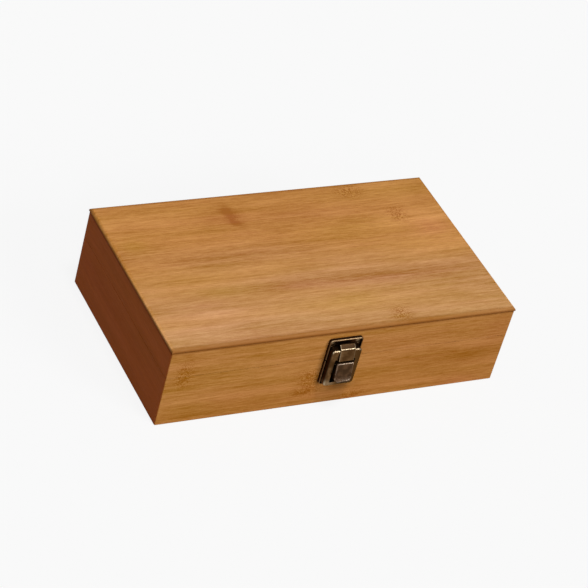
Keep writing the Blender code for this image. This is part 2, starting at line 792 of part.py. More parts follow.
def hinge_leaf(name, middle, direction, keep_centre):
    """One leaf with its knuckles: the centre one, or the two outer ones."""
    place = (middle, HINGE_AXIS_Y, SEAM_HEIGHT)
    leaf = prism(name, [leaf_outline(direction)], HINGE_LENGTH, FROM_SIDE, place)
    half_notch = HINGE_KNUCKLE / 2 + HINGE_KNUCKLE_GAP / 2
    half_knuckle = HINGE_KNUCKLE / 2 - HINGE_KNUCKLE_GAP / 2
    clear = HINGE_BARREL + HINGE_KNUCKLE_GAP
    notch = [(-clear, -clear), (clear, -clear), (clear, clear), (-clear, clear)]
    if keep_centre:
        reach = HINGE_LENGTH / 2 + OVERRUN
        depth = reach - half_knuckle
        for side, label in ((-1, "left"), (1, "right")):
            beside = (middle + side * (half_knuckle + depth / 2), HINGE_AXIS_Y, SEAM_HEIGHT)
            cut(leaf, prism(f"{name}_{label}_notch", [notch], depth, FROM_SIDE, beside))
    else:
        cut(leaf, prism(name + "_notch", [notch], half_notch * 2, FROM_SIDE, place))
    metal(leaf)
    return leaf


def hinge(prefix, middle, base_board, lid_board):
    """A surface butt hinge across the seam at the back, with its pin and screws."""
    base_leaf = hinge_leaf(prefix + "_base_leaf", middle, -1, keep_centre=False)
    lid_leaf = hinge_leaf(prefix + "_lid_leaf", middle, 1, keep_centre=True)
    half = HINGE_LENGTH / 2
    profile = [(0, half), (HINGE_PIN_RADIUS, half), (HINGE_PIN_RADIUS, -half), (0, -half)]
    pin = turned(prefix + "_pin", profile, (0, pi / 2, 0), (middle, HINGE_AXIS_Y, SEAM_HEIGHT))
    metal(pin, STEEL)
    fixed, moving = [base_leaf, pin], [lid_leaf]
    leaves = (("base", base_leaf, base_board, -1, fixed), ("lid", lid_leaf, lid_board, 1, moving))
    for label, leaf, wall, direction, group in leaves:
        for side, hand in ((-1, "left"), (1, "right")):
            place = (
                middle + side * HINGE_SCREW_SPACING / 2,
                BACK + PLATE_FACE,
                SEAM_HEIGHT + direction * HINGE_SCREW_RISE,
            )
            piece, hole = screw(f"{prefix}_{label}_screw_{hand}", place, FROM_BACK)
            cut(leaf, hole)
            cut_board(wall, hole)
            group.append(piece)
    return fixed, moving


def build():
    base_boards, bottom_panel = base_case()
    lid_boards, top_panel = lid_case()
    lid_pieces = lid_boards + [top_panel]
    for side, name in ((-1, "hinge_left"), (1, "hinge_right")):
        moving = hinge(name, side * HINGE_SPACING / 2, base_boards[2], lid_boards[2])[1]
        lid_pieces += moving

    catch = catch_plate()
    catch_height = SEAM_HEIGHT + CATCH_SCREW_HEIGHT
    screws = latch_screws("catch", catch, lid_boards[0], catch_height, CATCH_SCREW_SPACING)
    lid_pieces += [catch] + screws
    base_plate = latch_base_plate()
    base_height = SEAM_HEIGHT - BASE_SCREW_DROP
    latch_screws("latch_base", base_plate, base_boards[0], base_height, BASE_SCREW_SPACING)

    link = latch_link()
    lever = latch_lever()
    lever_pin, link_pin = latch_pins()

    hang(lid_pieces, axis_empty("lid_axis", (0, HINGE_AXIS_Y, SEAM_HEIGHT)))
    lever_axis = axis_empty("lever_axis", (LATCH_OFFSET, FRONT - LEVER_AXIS_REACH, LEVER_AXIS_HEIGHT))
    link_axis = axis_empty("link_axis", (LATCH_OFFSET, FRONT - LINK_AXIS_REACH, LINK_AXIS_HEIGHT))
    hang([lever, link_pin], lever_axis)
    hang([link], link_axis)
    hang([link_axis], lever_axis)


build()
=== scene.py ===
"""Finishes a hinged bamboo box with a draw latch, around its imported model.

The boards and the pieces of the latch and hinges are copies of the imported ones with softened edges, and
the screws are made whole. Sizes are in metres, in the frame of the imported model: the latch looks
towards -Y, and the hinges towards +Y.
"""

import json
from math import radians

import bmesh
import bpy
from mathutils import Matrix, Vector


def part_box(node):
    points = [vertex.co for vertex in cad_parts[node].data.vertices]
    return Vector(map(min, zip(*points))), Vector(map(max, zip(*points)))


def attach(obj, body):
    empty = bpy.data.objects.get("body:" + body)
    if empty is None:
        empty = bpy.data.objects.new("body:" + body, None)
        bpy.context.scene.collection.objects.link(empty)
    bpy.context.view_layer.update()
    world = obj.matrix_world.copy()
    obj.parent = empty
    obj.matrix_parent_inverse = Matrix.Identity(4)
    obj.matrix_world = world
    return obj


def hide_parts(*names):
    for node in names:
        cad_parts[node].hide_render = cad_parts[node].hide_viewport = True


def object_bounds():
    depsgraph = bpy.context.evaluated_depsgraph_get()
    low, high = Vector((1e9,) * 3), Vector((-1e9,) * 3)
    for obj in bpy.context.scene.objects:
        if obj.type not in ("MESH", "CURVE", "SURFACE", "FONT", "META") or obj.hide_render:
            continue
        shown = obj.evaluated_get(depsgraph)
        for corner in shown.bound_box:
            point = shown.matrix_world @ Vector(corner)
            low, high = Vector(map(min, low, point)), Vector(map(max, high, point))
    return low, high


# Camera, which stands where the photograph was taken
CAMERA_PLACE = (-0.71103009, -1.02475576, 0.98255351)
CAMERA_TURN = tuple(radians(angle) for angle in (51.52460686, -12.76787139, -24.79664322))
CAMERA_LENS = 150.3519
CAMERA_SENSOR = 36.0
CAMERA_REACH = 30.0

# Light: the direction that each sun shines from, its strength and how wide it looks
LAMPS = {
    "overhead": ((0.0, -0.25, 0.97), 1.75, radians(16)),
    "front": ((0.453, -0.76, 0.46), 1.5, radians(24)),
    "front_left": ((-0.38, -0.81, 0.44), 0.5, radians(12)),
}
SKY_STRENGTH = 0.20
BACKGROUND = 0.947

# The floor: its glow and its paleness as the camera sees them, and its paleness to other light
FLOOR_GLOW = 0.865
FLOOR_PALE = 0.08
FLOOR_DULL = 0.20
FLOOR_HALF = 6.0
FLOOR_DROP = 0.0002

# Which edges of the boards are outer ones: those this near to the sides of the box, or this far
# from its middle towards the front or the back
NEAR = 0.0002
OUTER_BAND = 0.0020
OUTER_ACROSS = 0.0675

# Softened edges
WELD = 0.000001
FLAT_ANGLE = radians(0.5)
SHARP_ANGLE = radians(38)
BOARD_EASE = 0.00018
PANEL_EASE = 0.00055
PLATE_EASE = 0.00014
LINK_EASE = 0.00016
LEVER_EASE = 0.00014
LEAF_EASE = 0.00012
PIN_EASE = 0.00012
EASE_STEPS = 2
PIN_SHARE = 0.96

# How much an edge is rubbed that looks up, that looks left, and that looks anywhere else; what
# looking up or left adds is a painted highlight
PLATE_RUB_AND_HIGHLIGHT = (0.40, 0.04, 0.09)
LINK_RUB_AND_HIGHLIGHT = (0.90, 0.80, 0.35)
LEVER_RUB_AND_HIGHLIGHT = (1.00, 0.05, 0.06)
LEAF_RUB_AND_HIGHLIGHT = (0.80, 0.30, 0.30)

# Which faces of sheet metal are edges, how looking up or to a corner adds a painted highlight to them,
# how far below the front they are still rubbed, and how dark the other faces lie: a painted shade on
# faces turned away from the front, and patina where they lie deep
NARROW = 0.0004
UPPER_NARROW = 1.25
LOOKS_UP = 0.45
EDGE_FACING = (0.2, 0.98)
CORNER_HIGHLIGHT = 1.5
FULLY_UPWARDS = 0.6
RUBBED_DEPTH = 0.9
RUBBED_BLEND = 0.3
SHADE_FACING = 0.97
SHADE_BLEND = 0.45
SUNK_START = 0.4
SUNK_MOST = 0.6

# The depth below the front of a piece over which it passes from rubbed to dark with patina and painted
# shade
CATCH_DEPTH = 0.0060
LINK_DEPTH = 0.0040
PIECE_DEPTH = 0.0090

# Screws
SCREW_DOME = 0.00025
SCREW_SINK = 0.0007
SCREW_SHANK_SHARE = 0.5
RECESS_LENGTH = 0.0019
RECESS_WIDTH = 0.0004
RECESS_DEPTH = 0.0005
SCREW_SIDES = 32
SCREW_RINGS = 4
SCREW_SEED = 3
SCREW_TURN = 1.57
SCREW_SOCKETS = {
    "Places": "NodeSocketGeometry",
    "Head Radius": "NodeSocketFloat",
    "Dome": "NodeSocketFloat",
    "Sink": "NodeSocketFloat",
    "Shank Radius": "NodeSocketFloat",
    "Shank Length": "NodeSocketFloat",
    "Recess Length": "NodeSocketFloat",
    "Recess Width": "NodeSocketFloat",
    "Recess Depth": "NodeSocketFloat",
    "Seed": "NodeSocketInt",
    "Finish": "NodeSocketMaterial",
}

# Metal
METAL_TINT = (0.80, 0.62, 0.42, 1.0)
GRIME_SIZE = 0.0009
GRIME_SHIFT = 4.0
GRIME_HEIGHT = 0.00002
# Patina in hollows, and painted shade on faces turned away from the front
PATINA_AND_SHADE_COLOUR = (0.030, 0.017, 0.009)
PATINA_AND_SHADE_SHARE = 0.80
RECESS_GRIME = 0.30
BRIGHT_BRASS = (0.520, 0.400, 0.240)
MOTTLE_EDGE = (0.36, 0.64)
SCRATCH_EDGE = (0.38, 0.60)
SCRATCH_SHARE = 0.65
MOTTLE_ROUGHNESS = 0.14
RECESS_ROUGHNESS = 0.10

# Bamboo: each kind of streak by its length, its width, its seed and its detail, how far the grain
# wanders, and how far the pattern is shifted from board to board
STREAKS = {
    "drift": (0.200, 0.034, 31.0, 1.0),
    "cloudy": (0.055, 0.0110, 23.0, 2.0),
    "coarse": (0.150, 0.0062, 2.0, 2.0),
    "medium": (0.070, 0.0024, 5.0, 2.0),
    "fine": (0.028, 0.0010, 11.0, 2.0),
    "fibres": (0.0060, 0.00055, 17.0, 1.0),
    "pores": (0.0011, 0.0008, 53.0, 1.0),
}
WANDER = (0.045, 0.012, 41.0, 1.0)
WANDER_REACH = 0.0014
NOISE_MIDDLE = 0.5
BOARD_STEP = 2.9
TOP_SHIFT = 1.7
BOTTOM_SHIFT = 8.1
SEED_SPREAD = 3.7

# How much each kind of streak lightens the wood, how pink it makes it, and how much lighter or
# pinker wood changes in red, green and blue
CONTRAST = {
    "cloudy": 0.55,
    "coarse": 0.50,
    "medium": 0.50,
    "fine": 0.62,
    "fibres": 0.80,
    "pores": 0.30,
}
TINT = {"cloudy": 1.3, "coarse": 0.8, "medium": 0.8, "drift": -0.8}
LIGHTER = (0.66, 1.00, 1.70)
PINKER = (0.05, -0.04, 0.26)
DARKEST = -0.50
DRIFT_OF_TONE = 1.6
WOOD_ROUGHNESS = 0.54
ROUGHNESS_SPREAD = 0.16
FIBRE_HEIGHT = 0.00004

# Short strokes of a ring mark: their length, their width and how deep they run, and their contrast
STROKE_SIZE = (0.0024, 0.0013, 0.0100)
STROKE_SHIFT = 3.0
STROKE_DETAIL = 1.5
STROKE_DISTORTION = 1.2
STROKE_EDGE = 0.10
STROKE_PALE = 0.08

# Where the colour of the wood changes, and over what distance: at the outer left face, which is
# painted with shade, below the top of the panel, where a painted shadow lies under its edge, round its
# sides, along its front and back, where its rim is painted with shade, and at the upper rim of the
# walls, which is painted with the panel's shadow
SHADED_LEFT_FACE = 0.1188
SHADED_LEFT_BLEND = 0.0008
GROOVE_SHADOW_TOP = 0.0598
GROOVE_SHADOW_BLEND = 0.0020
PANEL_SIDES = (0.1176, 0.0664)
SIDES_BLEND = 0.0012
PANEL_RIM_SHADE = (0.0652, 0.0686)
PANEL_RIM_SHADE_SHARE = 0.75
WALL_RIM_SHADOW = (0.0556, 0.0574)
WALL_RIM_SHADOW_SHARE = 0.90

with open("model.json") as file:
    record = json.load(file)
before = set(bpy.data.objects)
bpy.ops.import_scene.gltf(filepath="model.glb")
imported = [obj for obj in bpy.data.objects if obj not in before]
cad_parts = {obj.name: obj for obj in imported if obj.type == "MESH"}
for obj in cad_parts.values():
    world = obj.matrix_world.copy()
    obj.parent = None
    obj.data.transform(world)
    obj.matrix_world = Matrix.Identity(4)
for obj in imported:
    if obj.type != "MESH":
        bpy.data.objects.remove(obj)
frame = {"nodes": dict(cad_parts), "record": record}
cad_low, cad_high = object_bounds()


# Node trees
class Value:
    """A socket that arithmetic can be done on: each operation adds a Math node."""

    def __init__(self, tree, socket):
        self.tree = tree
        self.socket = socket

    def math(self, operation, first, second=0.0):
        return self.tree.add("ShaderNodeMath", {"operation": operation}, {0: first, 1: second})

    def __add__(self, other):
        return self.math("ADD", self, other)

    def __radd__(self, other):
        return self.math("ADD", other, self)

    def __sub__(self, other):
        return self.math("SUBTRACT", self, other)

    def __rsub__(self, other):
        return self.math("SUBTRACT", other, self)

    def __mul__(self, other):
        return self.math("MULTIPLY", self, other)

    def __rmul__(self, other):
        return self.math("MULTIPLY", other, self)

    def __truediv__(self, other):
        return self.math("DIVIDE", self, other)

    def __neg__(self):
        return self.math("MULTIPLY", self, -1.0)

    def exp(self):
        return self.math("EXPONENT", self)

    def size(self):
        return self.math("ABSOLUTE", self)

    def most(self, other):
        return self.math("MAXIMUM", self, other)

    def above(self, other):
        return self.math("GREATER_THAN", self, other)

    def between(self, low, high):
        """0 below low, 1 above high, and a smooth rise between them."""
        return self.tree.add(
            "ShaderNodeMapRange",
            {"interpolation_type": "SMOOTHSTEP"},
            {"Value": self, "From Min": low, "From Max": high, "To Min": 0.0, "To Max": 1.0},
        )


class Tree:
    """A node tree, of a material, the world or a modifier, which nodes are added to."""

    def __init__(self, tree):
        self.nodes = tree.nodes
        self.links = tree.links

    def add(self, kind, settings, inputs, output=0):
        """Add a node, first its settings and then the values or links of its sockets."""
        made = self.nodes.new(kind)
        for name, value in settings.items():
            setattr(made, name, value)
        for key, value in inputs.items():
            if isinstance(value, Value):
                self.link(value, made.inputs[key])
            elif isinstance(value, list):
                for one in value:
                    self.link(one, made.inputs[key])
            else:
                made.inputs[key].default_value = value
        return Value(self, made.outputs[output])

    def link(self, value, socket):
        self.links.new(value.socket, socket)

    def vector(self, x=0.0, y=0.0, z=0.0):
        return self.add("ShaderNodeCombineXYZ", {}, {"X": x, "Y": y, "Z": z})

    def parts(self, vector):
        """The X, Y and Z of a vector."""
        return [self.add("ShaderNodeSeparateXYZ", {}, {0: vector}, output=axis) for axis in "XYZ"]


class Finish(Tree):
    """A material whose Principled shader is fed by nodes."""

    def __init__(self, name, **constants):
        self.material = bpy.data.materials.new(name)
        self.material.use_nodes = True
        super().__init__(self.material.node_tree)
        self.shader = self.nodes["Principled BSDF"]
        for socket, value in constants.items():
            self.shader.inputs[socket.replace("_", " ")].default_value = value

    def feed(self, socket, value):
        self.link(value, self.shader.inputs[socket])

    def place(self):
        """The X, Y and Z of a point on the piece."""
        return self.parts(self.add("ShaderNodeTexCoord", {}, {}, output="Object"))

    def noise(self, vector, detail=2.0, roughness=0.5, distortion=0.0):
        return self.add(
            "ShaderNodeTexNoise",
            {},
            {
                "Vector": vector,
                "Scale": 1.0,
                "Detail": detail,
                "Roughness": roughness,
                "Distortion": distortion,
            },
        )

    def times(self, colour, red, green, blue):
        """A colour with each of its channels multiplied."""
        return self.add(
            "ShaderNodeVectorMath",
            {"operation": "MULTIPLY"},
            {0: colour, 1: self.vector(red, green, blue)},
        )

    def attribute(self, name):
        return self.add("ShaderNodeAttribute", {"attribute_name": name}, {}, output="Fac")

    def mix(self, factor, first, second):
        """A colour between two colours."""
        first, second = [c if isinstance(c, Value) else (*c, 1.0) for c in (first, second)]
        return self.add(
            "ShaderNodeMix", {"data_type": "RGBA"}, {0: factor, 6: first, 7: second}, output=2
        )

    def bump(self, height, distance):
        normal = self.add("ShaderNodeBump", {}, {"Height": height, "Distance": distance})
        self.feed("Normal", normal)

    def spot(self, place, middle, half):
        """1 at a place on a face, and less around it."""
        first, second = [(p - m) / h for p, m, h in zip(place, middle, half)]
        return (-(first * first + second * second)).exp()


# Bamboo
class Grain:
    """Where a point lies in a bamboo board: along the grain, across it and into the board."""

    def __init__(self, finish, order, shift):
        places = dict(zip("xyz", finish.place()))
        self.finish = finish
        self.along, self.across, self.depth = [places[axis] for axis in order]
        self.shift = shift
        # The grain wanders by noise that is itself laid on straight grain
        self.wavy = self.across
        self.wavy = self.wavy + self.streaks(*WANDER) * WANDER_REACH

    def streaks(self, length, width, seed, detail):
        """Noise drawn out along the grain, as much above nothing as below it."""
        place = self.finish.vector(
            self.along / length + self.shift,
            self.wavy / width,
            self.depth / width + (self.shift * SEED_SPREAD + seed),
        )
        return self.finish.noise(place, detail=detail) - NOISE_MIDDLE

    def spot(self, along, across, half_length, half_width):
        """A soft spot around a place on the board."""
        place = (self.along, self.wavy)
        return self.finish.spot(place, (along, across), (half_length, half_width))

    def strokes(self):
        """Short wavy strokes, such as the growth rings leave."""
        length, width, reach = STROKE_SIZE
        place = self.finish.vector(
            self.along / length, self.across / width, self.depth / reach + STROKE_SHIFT
        )
        noise = self.finish.noise(place, detail=STROKE_DETAIL, distortion=STROKE_DISTORTION)
        return (noise - NOISE_MIDDLE).size().between(STROKE_EDGE, 0.0) - STROKE_PALE


def plain_tone(grain, drift, wood):
    """The colour that the streaks lie on, which fades from one side of a board to the other."""
    low, high = wood["fade"]
    faded = ((grain.across - low) / (high - low) + drift * DRIFT_OF_TONE).between(0.0, 1.0)
    tone = grain.finish.mix(faded, wood["near"], wood["far"])
    # The outer left face keeps near and far, which paint shade on it; the other faces take the unshaded
    # tone
    if wood["unshaded_tone"]:
        outside = (-grain.depth - SHADED_LEFT_FACE).between(0.0, SHADED_LEFT_BLEND)
        tone = grain.finish.mix(outside, wood["unshaded_tone"], tone)
    return tone


def streaked(grain, streaks, tone, wood):
    """The colour with its streaks, patches and ring marks."""
    lift = sum(streaks[kind] * contrast for kind, contrast in CONTRAST.items())
    lift = (lift + streaks["drift"] * wood["cloud"]) * wood["figure"]
    hue = sum(streaks[kind] * tint for kind, tint in TINT.items())
    for *where, paler, pinker in wood["patches"]:
        spot = grain.spot(*where)
        if paler:
            lift = lift + spot * paler
        if pinker:
            hue = hue + spot * pinker
    if wood["marks"]:
        strokes = grain.strokes()
        for *where, depth in wood["marks"]:
            lift = lift - grain.spot(*where) * strokes * depth
    lift = lift.most(DARKEST)
    return grain.finish.times(
        tone, *[1 + lift * lighter + hue * pinker for lighter, pinker in zip(LIGHTER, PINKER)]
    )


def wall_rims(grain, colour, wood):
    """The colour of a wall board, with a painted shadow where it meets the panel."""
    # Painted shadow of the panel on the upper rim of the wall
    rim = grain.across.between(*WALL_RIM_SHADOW) * wood["rim"] * WALL_RIM_SHADOW_SHARE
    return grain.finish.mix(rim, colour, wood["edge"])


def panel_rims(grain, colour, wood):
    """The colour of the varnished panel, with painted shade at its front and back and a painted shadow
    below its edge.
    """
    finish = grain.finish
    shadow_below_top = (GROOVE_SHADOW_TOP - grain.depth).between(0.0, GROOVE_SHADOW_BLEND)
    half_length, half_width = PANEL_SIDES
    past = (grain.along.size() - half_length).most(grain.across.size() - half_width)
    outer = past.between(0.0, SIDES_BLEND)
    finish.feed("Coat Weight", wood["coat"] * (1 - outer))
    # Painted shade on the front and back rims of the panel
    rim = grain.across.size().between(*PANEL_RIM_SHADE) * wood["rim"] * PANEL_RIM_SHADE_SHARE
    colour = finish.mix(rim, colour, wood["edge"])
    # Painted shadow below the edge of the panel
    return finish.mix(shadow_below_top * outer * wood["rim"], colour, wood["groove_shadow"])


def bamboo(name, order, shift, wood):
    """Varnished bamboo whose grain runs along the first axis of order.

    A patch is (along, across, half length, half width, paler or darker, pinker or greener), a ring
    mark is (along, across, half length, half width, depth of its strokes), and a painted shadow is
    (along, across, half length, half width, how dark): a darkened spot that paints a cast shadow.
    """
    finish = Finish(
        name, Coat_Roughness=0.34, Coat_IOR=1.5, Specular_IOR_Level=wood["sheen"]
    )
    grain = Grain(finish, order, shift)
    streaks = {kind: grain.streaks(*sizes) for kind, sizes in STREAKS.items()}
    tone = plain_tone(grain, streaks["drift"], wood)
    colour = streaked(grain, streaks, tone, wood)
    rims = panel_rims if wood["coat"] else wall_rims
    colour = rims(grain, colour, wood)
    # Each painted shadow darkens the wood where a cast shadow falls
    for *where, depth in wood["painted_shadows"]:
        kept = 1 - grain.spot(*where) * depth
        colour = finish.times(colour, kept, kept, kept)
    finish.feed("Base Color", colour)
    finish.feed("Roughness", WOOD_ROUGHNESS + streaks["fine"] * ROUGHNESS_SPREAD)
    finish.bump((streaks["fine"] + streaks["fibres"]) / 2, distance=FIBRE_HEIGHT)
    return finish.material


# The woods: near and far are the colours at the two ends of fade, the unshaded tone is that of all
# but the outer left face, the edge and groove colours are the painted shade and painted shadow of the
# rims, and figure and cloud are how strong the streaks are
TOP_WOOD = {
    # Near, at the front of the panel, is paler and whiter than far: a painted sheen
    "near": (0.480, 0.238, 0.080),
    "far": (0.466, 0.198, 0.044),
    # The edge colour paints shade on the panel's front and back rims, the groove colour the shadow below
    # its edge
    "edge": (0.250, 0.090, 0.013),
    "groove_shadow": (0.200, 0.060, 0.007),
    "unshaded_tone": None,
    "rim": 0.85,
    "fade": (-0.058, 0.030),
    "figure": 0.95,
    "cloud": 0.95,
    "sheen": 0.03,
    "coat": 0.28,
    "patches": (
        (-0.0320, 0.0521, 0.0036, 0.0052, -0.56, 0.2),
        (-0.0318, 0.0428, 0.0024, 0.0036, -0.32, 0.1),
        (-0.0296, 0.0391, 0.0042, 0.0024, -0.42, 0.0),
        (-0.0438, 0.0470, 0.0090, 0.0075, -0.20, 0.0),
        (-0.0277, 0.0472, 0.0070, 0.0070, -0.20, 0.0),
        (-0.006, 0.027, 0.0065, 0.0040, -0.14, 0.0),
        (-0.105, 0.047, 0.0150, 0.0050, -0.14, 0.0),
        (0.050, 0.030, 0.0240, 0.0070, -0.14, -0.3),
        (0.113, 0.050, 0.0100, 0.0120, -0.22, -0.2),
        (0.065, -0.056, 0.0700, 0.0130, -0.10, 0.1),
        (-0.010, -0.005, 0.1100, 0.0090, 0.07, 0.0),
        (-0.020, 0.036, 0.1100, 0.0080, 0.05, 0.0),
        (-0.050, -0.027, 0.0700, 0.0080, -0.05, 0.0),
        (0.020, 0.058, 0.1000, 0.0080, 0.00, -0.3),
        (0.103, 0.018, 0.0140, 0.0090, -0.07, 0.8),
        (0.040, -0.026, 0.0480, 0.0050, -0.13, 0.35),
        (-0.018, -0.025, 0.0200, 0.0040, -0.08, 0.5),
        (-0.065, -0.022, 0.0220, 0.0060, -0.02, -0.5),
        (0.012, -0.044, 0.0250, 0.0060, 0.03, -0.3),
        (-0.085, -0.046, 0.0450, 0.0140, 0.06, 0.7),
        (-0.107, 0.028, 0.0100, 0.0070, 0.00, -0.7),
        (-0.072, 0.010, 0.0320, 0.0014, -0.16, 0.0),
        (0.085, 0.0015, 0.0450, 0.0010, 0.14, 0.3),
        (-0.098, 0.019, 0.0260, 0.0010, 0.12, 0.0),
    ),
    "marks": (
        (0.0613, 0.0605, 0.0090, 0.0050, 1.20),
        (0.0850, 0.0330, 0.0060, 0.0075, 1.15),
        (0.0400, -0.0605, 0.0065, 0.0060, 1.05),
        (-0.0300, 0.0470, 0.0060, 0.0080, 0.30),
    ),
    "painted_shadows": (),
}
FRONT_WOOD = {
    "near": (0.452, 0.184, 0.041),
    "far": (0.488, 0.210, 0.053),
    "unshaded_tone": None,
    # The edge colour paints the panel's shadow on the upper rim of the wall
    "edge": (0.300, 0.105, 0.016),
    "rim": 0.9,
    "fade": (0.000, 0.045),
    "figure": 0.90,
    "cloud": 0.30,
    "sheen": 0.03,
    "coat": 0.0,
    "patches": (
        (0.112, 0.044, 0.0120, 0.0120, -0.14, 0.2),
        (0.052, 0.0276, 0.0220, 0.0014, -0.18, 0.0),
        (0.093, 0.001, 0.0160, 0.0060, 0.00, 1.0),
        (-0.080, 0.036, 0.0400, 0.0080, -0.06, -0.2),
        (0.075, 0.022, 0.0200, 0.0070, -0.10, 0.0),
        (-0.100, 0.010, 0.0200, 0.0060, -0.08, -0.3),
        (0.060, 0.046, 0.0450, 0.0040, -0.08, 0.0),
    ),
    "marks": (
        (-0.1080, 0.0390, 0.0055, 0.0090, 1.00),
        (-0.0190, 0.0240, 0.0080, 0.0050, 1.05),
        (-0.0190, 0.0125, 0.0080, 0.0050, 1.05),
        (0.0150, 0.0034, 0.0080, 0.0040, 0.75),
    ),
    # A painted shadow on the wood below the latch
    "painted_shadows": ((0.0035, 0.0125, 0.0086, 0.0034, 0.52),),
}
END_WOOD = {
    # Near and far paint shade on the outer left face, redder and darker than the unshaded tone
    "near": (0.440, 0.100, 0.017),
    "far": (0.440, 0.104, 0.019),
    "unshaded_tone": (0.450, 0.170, 0.038),
    # The edge colour paints the panel's shadow on the upper rim of the wall
    "edge": (0.230, 0.040, 0.005),
    "rim": 0.9,
    "fade": (0.000, 0.060),
    "figure": 0.45,
    "cloud": 0.5,
    "sheen": 0.02,
    "coat": 0.0,
    "patches": (),
    "marks": (),
    "painted_shadows": (),
}


# Metal
def antique_metal(
    name, brown, dark, bright, worn, mottle, roughness, shade_along_x=None, highlight_spots=()
):
    """Darkened brass plating, rubbed bright with painted highlights where edges stand out, and dark with
    patina and painted shade where it lies deep or turns away.

    The shade along X is (start, end, share): a painted shade that darkens the piece towards +X. A
    highlight spot is (x, z, half width, half height, share): a painted highlight where its share is above
    0, and a painted shade that keeps the spot from showing rubbed bright where it is below.
    """
    finish = Finish(name, Metallic=1.0, Specular_Tint=METAL_TINT)
    x, y, z = finish.place()
    clouds = finish.noise(finish.vector(x / mottle, y / mottle, z / mottle), detail=3.0)
    close = finish.vector(x / GRIME_SIZE + GRIME_SHIFT, y / GRIME_SIZE, z / GRIME_SIZE)
    grime = finish.noise(close, detail=2.0, roughness=0.6)
    wear = finish.attribute("wear")
    recess = finish.attribute("recess")
    colour = finish.mix(clouds.between(*MOTTLE_EDGE), brown, dark)
    # Painted shade, darker towards +X
    if shade_along_x:
        start, end, share = shade_along_x
        colour = finish.mix(x.between(start, end) * share, colour, dark)
    # Patina and painted shade where a face lies deep or turns away from the front
    darkened_share = recess * (PATINA_AND_SHADE_SHARE + grime * RECESS_GRIME)
    colour = finish.mix(darkened_share, colour, PATINA_AND_SHADE_COLOUR)
    scratched = 1 - SCRATCH_SHARE + grime.between(*SCRATCH_EDGE) * SCRATCH_SHARE
    # Wear, with a painted highlight on edges that look up or left
    rub_and_highlight = wear * worn * scratched
    # Painted highlights, and painted shade that keeps a spot from showing bright
    for along, height, half_along, half_height, share in highlight_spots:
        near = finish.spot((x, z), (along, height), (half_along, half_height)) * share
        rub_and_highlight = rub_and_highlight + near if share > 0 else rub_and_highlight * (1.0 + near)
    colour = finish.mix(rub_and_highlight, colour, bright)
    finish.feed("Base Color", colour)
    rougher = clouds * MOTTLE_ROUGHNESS + recess * RECESS_ROUGHNESS
    finish.feed("Roughness", roughness + rougher)
    finish.bump(grime, distance=GRIME_HEIGHT)
    return finish.material


# Pieces
def in_scene(name, data):
    """An object of the scene, made of a mesh, a light or a camera."""
    piece = bpy.data.objects.new(name, data)
    bpy.context.scene.collection.objects.link(piece)
    return piece


def merged(node):
    """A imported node's mesh as whole faces."""
    shape = bmesh.new()
    shape.from_mesh(frame["nodes"][node].data)
    bmesh.ops.remove_doubles(shape, verts=shape.verts, dist=WELD)
    bmesh.ops.dissolve_limit(
        shape, angle_limit=FLAT_ANGLE, verts=shape.verts, edges=shape.edges
    )
    return shape


def ease(shape, width, picked):
    """Round the picked edges, and give back the faces that this makes."""
    edges = [
        edge
        for edge in shape.edges
        if edge.is_manifold and edge.calc_face_angle() > SHARP_ANGLE and picked(edge)
    ]
    return bmesh.ops.bevel(
        shape,
        geom=edges,
        offset=width,
        segments=EASE_STEPS,
        profile=0.5,
        affect="EDGES",
        clamp_overlap=True,
        loop_slide=True,
    )["faces"]


def slimmed(shape, share):
    """Draw the surface of a pin in towards its axis, so that what turns on it is clear of it."""
    middle = sum((vertex.co for vertex in shape.verts), Vector()) / len(shape.verts)
    for vertex in shape.verts:
        vertex.co.y = middle.y + (vertex.co.y - middle.y) * share
        vertex.co.z = middle.z + (vertex.co.z - middle.z) * share


def clamped(value, least, most):
    """The value, kept from least to most."""
    return min(max(value, least), most)


def rubbing_and_highlight(face, below, upwards, leftwards, least):
    """How bright an edge is rubbed and given a painted highlight, by where it looks and how far it lies
    below the front.

    Upwards, leftwards and least say how bright an edge is that looks up, left and anywhere else; what
    looking up or left, or to an upper left corner, adds is a painted highlight.
    """
    normal = face.normal
    # A painted highlight, as a glint, on corners that look up and left
    corner = min(-normal.x, normal.z) * CORNER_HIGHLIGHT
    up = normal.z * upwards / FULLY_UPWARDS
    reached = clamped(max(up, -normal.x * leftwards, corner), 0.0, 1.0)
    standing = clamped((RUBBED_DEPTH - below) / RUBBED_BLEND, 0.0, 1.0)
    return (least + (1.0 - least) * reached) * standing


def weathered(shape, width, deep, rub_and_highlight):
    """Soften all edges, and mark how worn each face is, with its painted highlight, and how dark it lies
    with patina and painted shade.
    """
    wear = shape.faces.layers.float.new("wear")
    recess = shape.faces.layers.float.new("recess")
    middle = sum(vertex.co.y for vertex in shape.verts) / len(shape.verts)
    outwards = -1.0 if middle < 0 else 1.0
    front = max(vertex.co.y * outwards for vertex in shape.verts)

    def depth(face):
        return (front - face.calc_center_median().y * outwards) / deep

    least_facing, most_facing = EDGE_FACING
    shape.normal_update()
    for face in shape.faces:
        facing = face.normal.y * outwards
        longest = max(edge.calc_length() for edge in face.edges)
        widest = NARROW * (UPPER_NARROW if face.normal.z > LOOKS_UP else 1.0)
        if face.calc_area() / longest < widest and least_facing < facing < most_facing:
            face[wear] = rubbing_and_highlight(face, depth(face), *rub_and_highlight)
        else:
            # Faces turned away from the front take a painted shade, and faces deep below it take patina
            painted_shade = clamped((SHADE_FACING - facing) / SHADE_BLEND, 0.0, 1.0)
            face[recess] = max(painted_shade, clamped(depth(face) - SUNK_START, 0.0, SUNK_MOST))
    eased = ease(shape, width, lambda edge: True)
    shape.normal_update()
    for face in eased:
        face[wear] = rubbing_and_highlight(face, depth(face), *rub_and_highlight)
        face[recess] = 0.0


